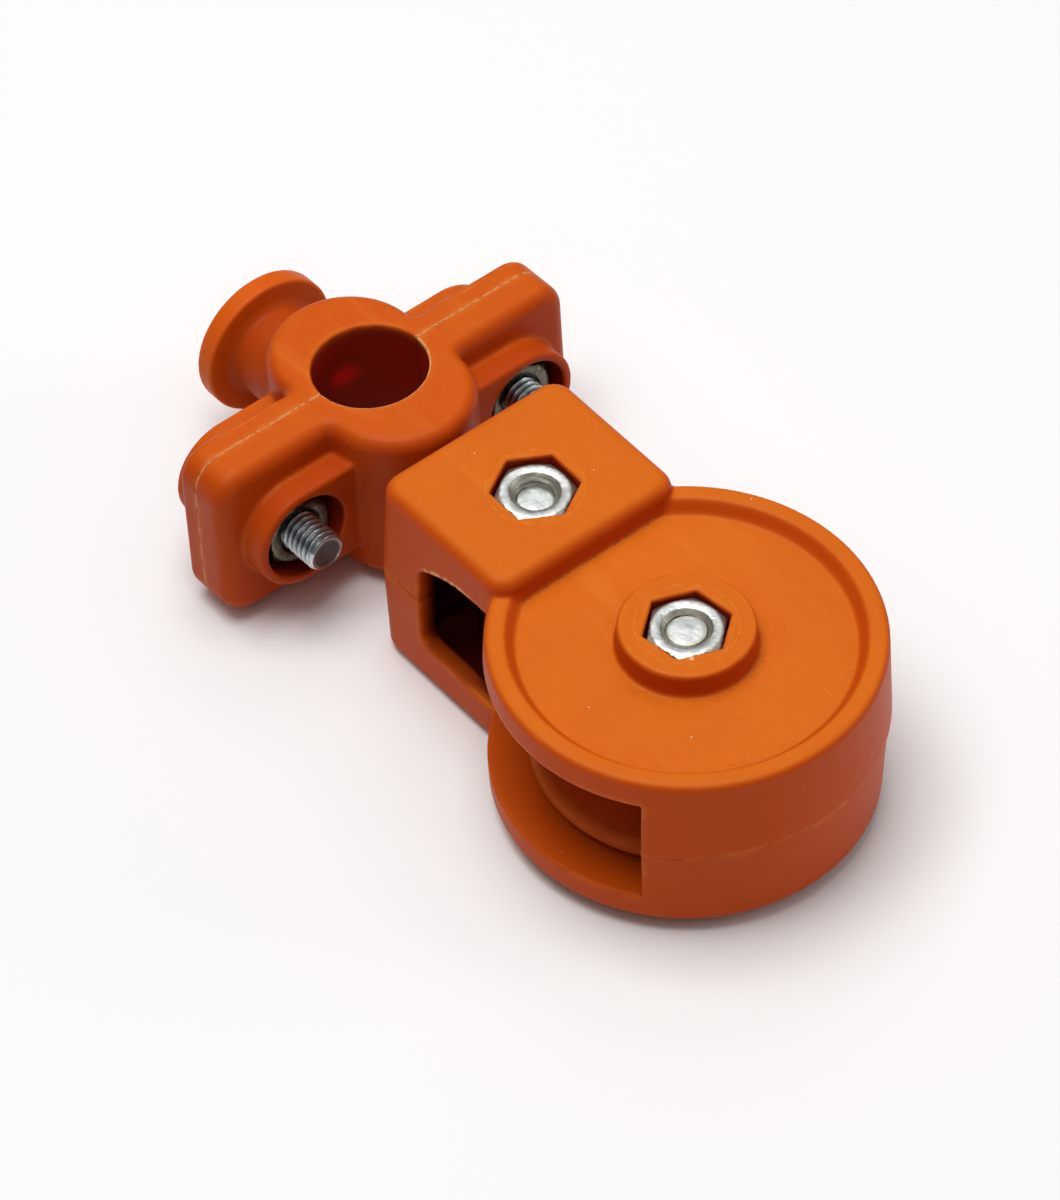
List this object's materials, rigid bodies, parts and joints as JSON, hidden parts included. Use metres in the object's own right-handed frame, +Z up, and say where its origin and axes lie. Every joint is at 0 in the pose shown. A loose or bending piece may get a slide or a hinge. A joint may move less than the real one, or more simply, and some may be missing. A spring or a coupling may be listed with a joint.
{
  "type": "rope pulley",
  "caption": "Orange plastic rope pulley: a grooved wheel between half shells, with a bolted clamp that grips a vertical rod and swivels on the shells' head.",
  "frame": {"origin": "on the surface the pulley lies on, under the middle of its overall length and width", "axes": "+X from the rod clamp towards the wheel, +Z up along the axle, the swivel bolt and the clamp's bore"},
  "size_m": [0.121, 0.061, 0.0324],
  "materials": {
    "orange_plastic": "satin moulded",
    "wheel_plastic": "satin moulded",
    "zinc_steel": "bright zinc plated"
  },
  "bodies": {
    "housing": {"upper_shell": "orange_plastic", "lower_shell": "orange_plastic", "axle_bolt": "zinc_steel", "axle_nut": "zinc_steel", "swivel_bolt": "zinc_steel", "swivel_nut": "zinc_steel"},
    "wheel": {"sheave": "wheel_plastic"},
    "clamp_head": {"clamp_front": "orange_plastic", "clamp_back": "orange_plastic", "clamp_bolt_left": "zinc_steel", "clamp_bolt_right": "zinc_steel", "clamp_nut_left": "zinc_steel", "clamp_nut_right": "zinc_steel"}
  },
  "joints": [
    {"name": "wheel_spin", "type": "hinge", "parent": "housing", "child": "wheel", "pos_m": [0.03302, 0, 0.0162], "axis": [0, 0, 1], "continuous": true},
    {"name": "clamp_swivel", "type": "hinge", "parent": "housing", "child": "clamp_head", "pos_m": [0.00162, 0, 0.0162], "axis": [0, 0, 1], "range_deg": [-18, 18]}
  ]
}
